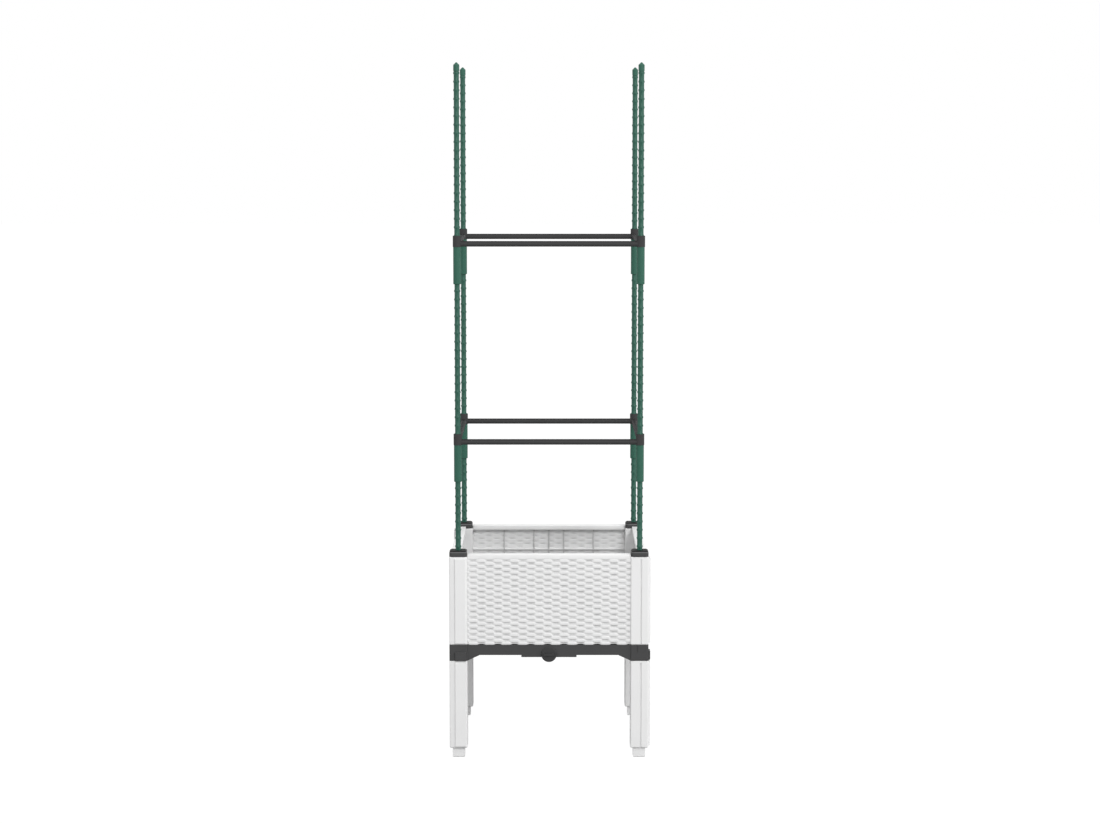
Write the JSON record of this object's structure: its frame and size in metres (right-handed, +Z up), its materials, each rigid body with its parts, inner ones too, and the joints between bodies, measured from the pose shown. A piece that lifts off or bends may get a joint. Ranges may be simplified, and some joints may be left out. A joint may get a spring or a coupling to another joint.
{
  "type": "raised planter",
  "caption": "Square raised planter on legs with woven-look white walls, a dark drain tray and a push-together stake trellis with tie bars for climbing plants.",
  "frame": {"origin": "on the floor under the planter's middle", "axes": "+Z up, +X to the right seen from the side with the drain plug, which faces -Y"},
  "size_m": [0.408, 0.408, 1.391],
  "materials": {
    "white_plastic": "moulded matte white polypropylene",
    "grey_plastic": "moulded dark grey polypropylene with a fine grain",
    "black_plastic": "moulded near-black plastic",
    "green_coating": "nubbed green plastic coating, semi-gloss",
    "green_fitting": "smooth green plastic, semi-gloss"
  },
  "bodies": {
    "planter": {"base_tray": "grey_plastic", "leg_front_left": "white_plastic", "leg_front_right": "white_plastic", "leg_back_left": "white_plastic", "leg_back_right": "white_plastic", "post_front_left": "white_plastic", "post_front_right": "white_plastic", "post_back_left": "white_plastic", "post_back_right": "white_plastic", "post_cap_front_left": "grey_plastic", "post_cap_front_right": "grey_plastic", "post_cap_back_left": "grey_plastic", "post_cap_back_right": "grey_plastic", "panel_front": "white_plastic", "panel_back": "white_plastic", "panel_left": "white_plastic", "panel_right": "white_plastic"},
    "drain_plug": {"drain_plug": "black_plastic"},
    "lower_tier": {"lower_stake_front_left": "green_coating", "lower_stake_front_right": "green_coating", "lower_stake_back_left": "green_coating", "lower_stake_back_right": "green_coating", "lower_sleeve_front_left": "green_fitting", "lower_sleeve_front_right": "green_fitting", "lower_sleeve_back_left": "green_fitting", "lower_sleeve_back_right": "green_fitting"},
    "middle_tier": {"middle_stake_front_left": "green_coating", "middle_stake_front_right": "green_coating", "middle_stake_back_left": "green_coating", "middle_stake_back_right": "green_coating", "upper_sleeve_front_left": "green_fitting", "upper_sleeve_front_right": "green_fitting", "upper_sleeve_back_left": "green_fitting", "upper_sleeve_back_right": "green_fitting"},
    "upper_tier": {"upper_stake_front_left": "green_coating", "upper_stake_front_right": "green_coating", "upper_stake_back_left": "green_coating", "upper_stake_back_right": "green_coating", "stake_tip_front_left": "green_fitting", "stake_tip_front_right": "green_fitting", "stake_tip_back_left": "green_fitting", "stake_tip_back_right": "green_fitting"},
    "lower_tie_ring": {"lower_clip_front_left": "black_plastic", "lower_clip_front_right": "black_plastic", "lower_clip_back_left": "black_plastic", "lower_clip_back_right": "black_plastic", "lower_bar_front": "black_plastic", "lower_bar_back": "black_plastic", "lower_bar_left": "black_plastic", "lower_bar_right": "black_plastic"},
    "upper_tie_ring": {"upper_clip_front_left": "black_plastic", "upper_clip_front_right": "black_plastic", "upper_clip_back_left": "black_plastic", "upper_clip_back_right": "black_plastic", "upper_bar_front": "black_plastic", "upper_bar_back": "black_plastic", "upper_bar_left": "black_plastic", "upper_bar_right": "black_plastic"}
  },
  "joints": [
    {"name": "drain_plug_pull", "type": "slide", "parent": "planter", "child": "drain_plug", "axis": [0, -1, 0], "range_m": [0, 0.03]},
    {"name": "lower_tier_lift", "type": "slide", "parent": "planter", "child": "lower_tier", "axis": [0, 0, 1], "range_m": [0, 0.23]},
    {"name": "middle_tier_lift", "type": "slide", "parent": "lower_tier", "child": "middle_tier", "axis": [0, 0, 1], "range_m": [0, 0.045]},
    {"name": "upper_tier_lift", "type": "slide", "parent": "middle_tier", "child": "upper_tier", "axis": [0, 0, 1], "range_m": [0, 0.045]},
    {"name": "lower_ring_slide", "type": "slide", "parent": "lower_tier", "child": "lower_tie_ring", "axis": [0, 0, 1], "range_m": [0, 0.29]},
    {"name": "upper_ring_slide", "type": "slide", "parent": "middle_tier", "child": "upper_tie_ring", "axis": [0, 0, 1], "range_m": [0, 0.31]}
  ]
}
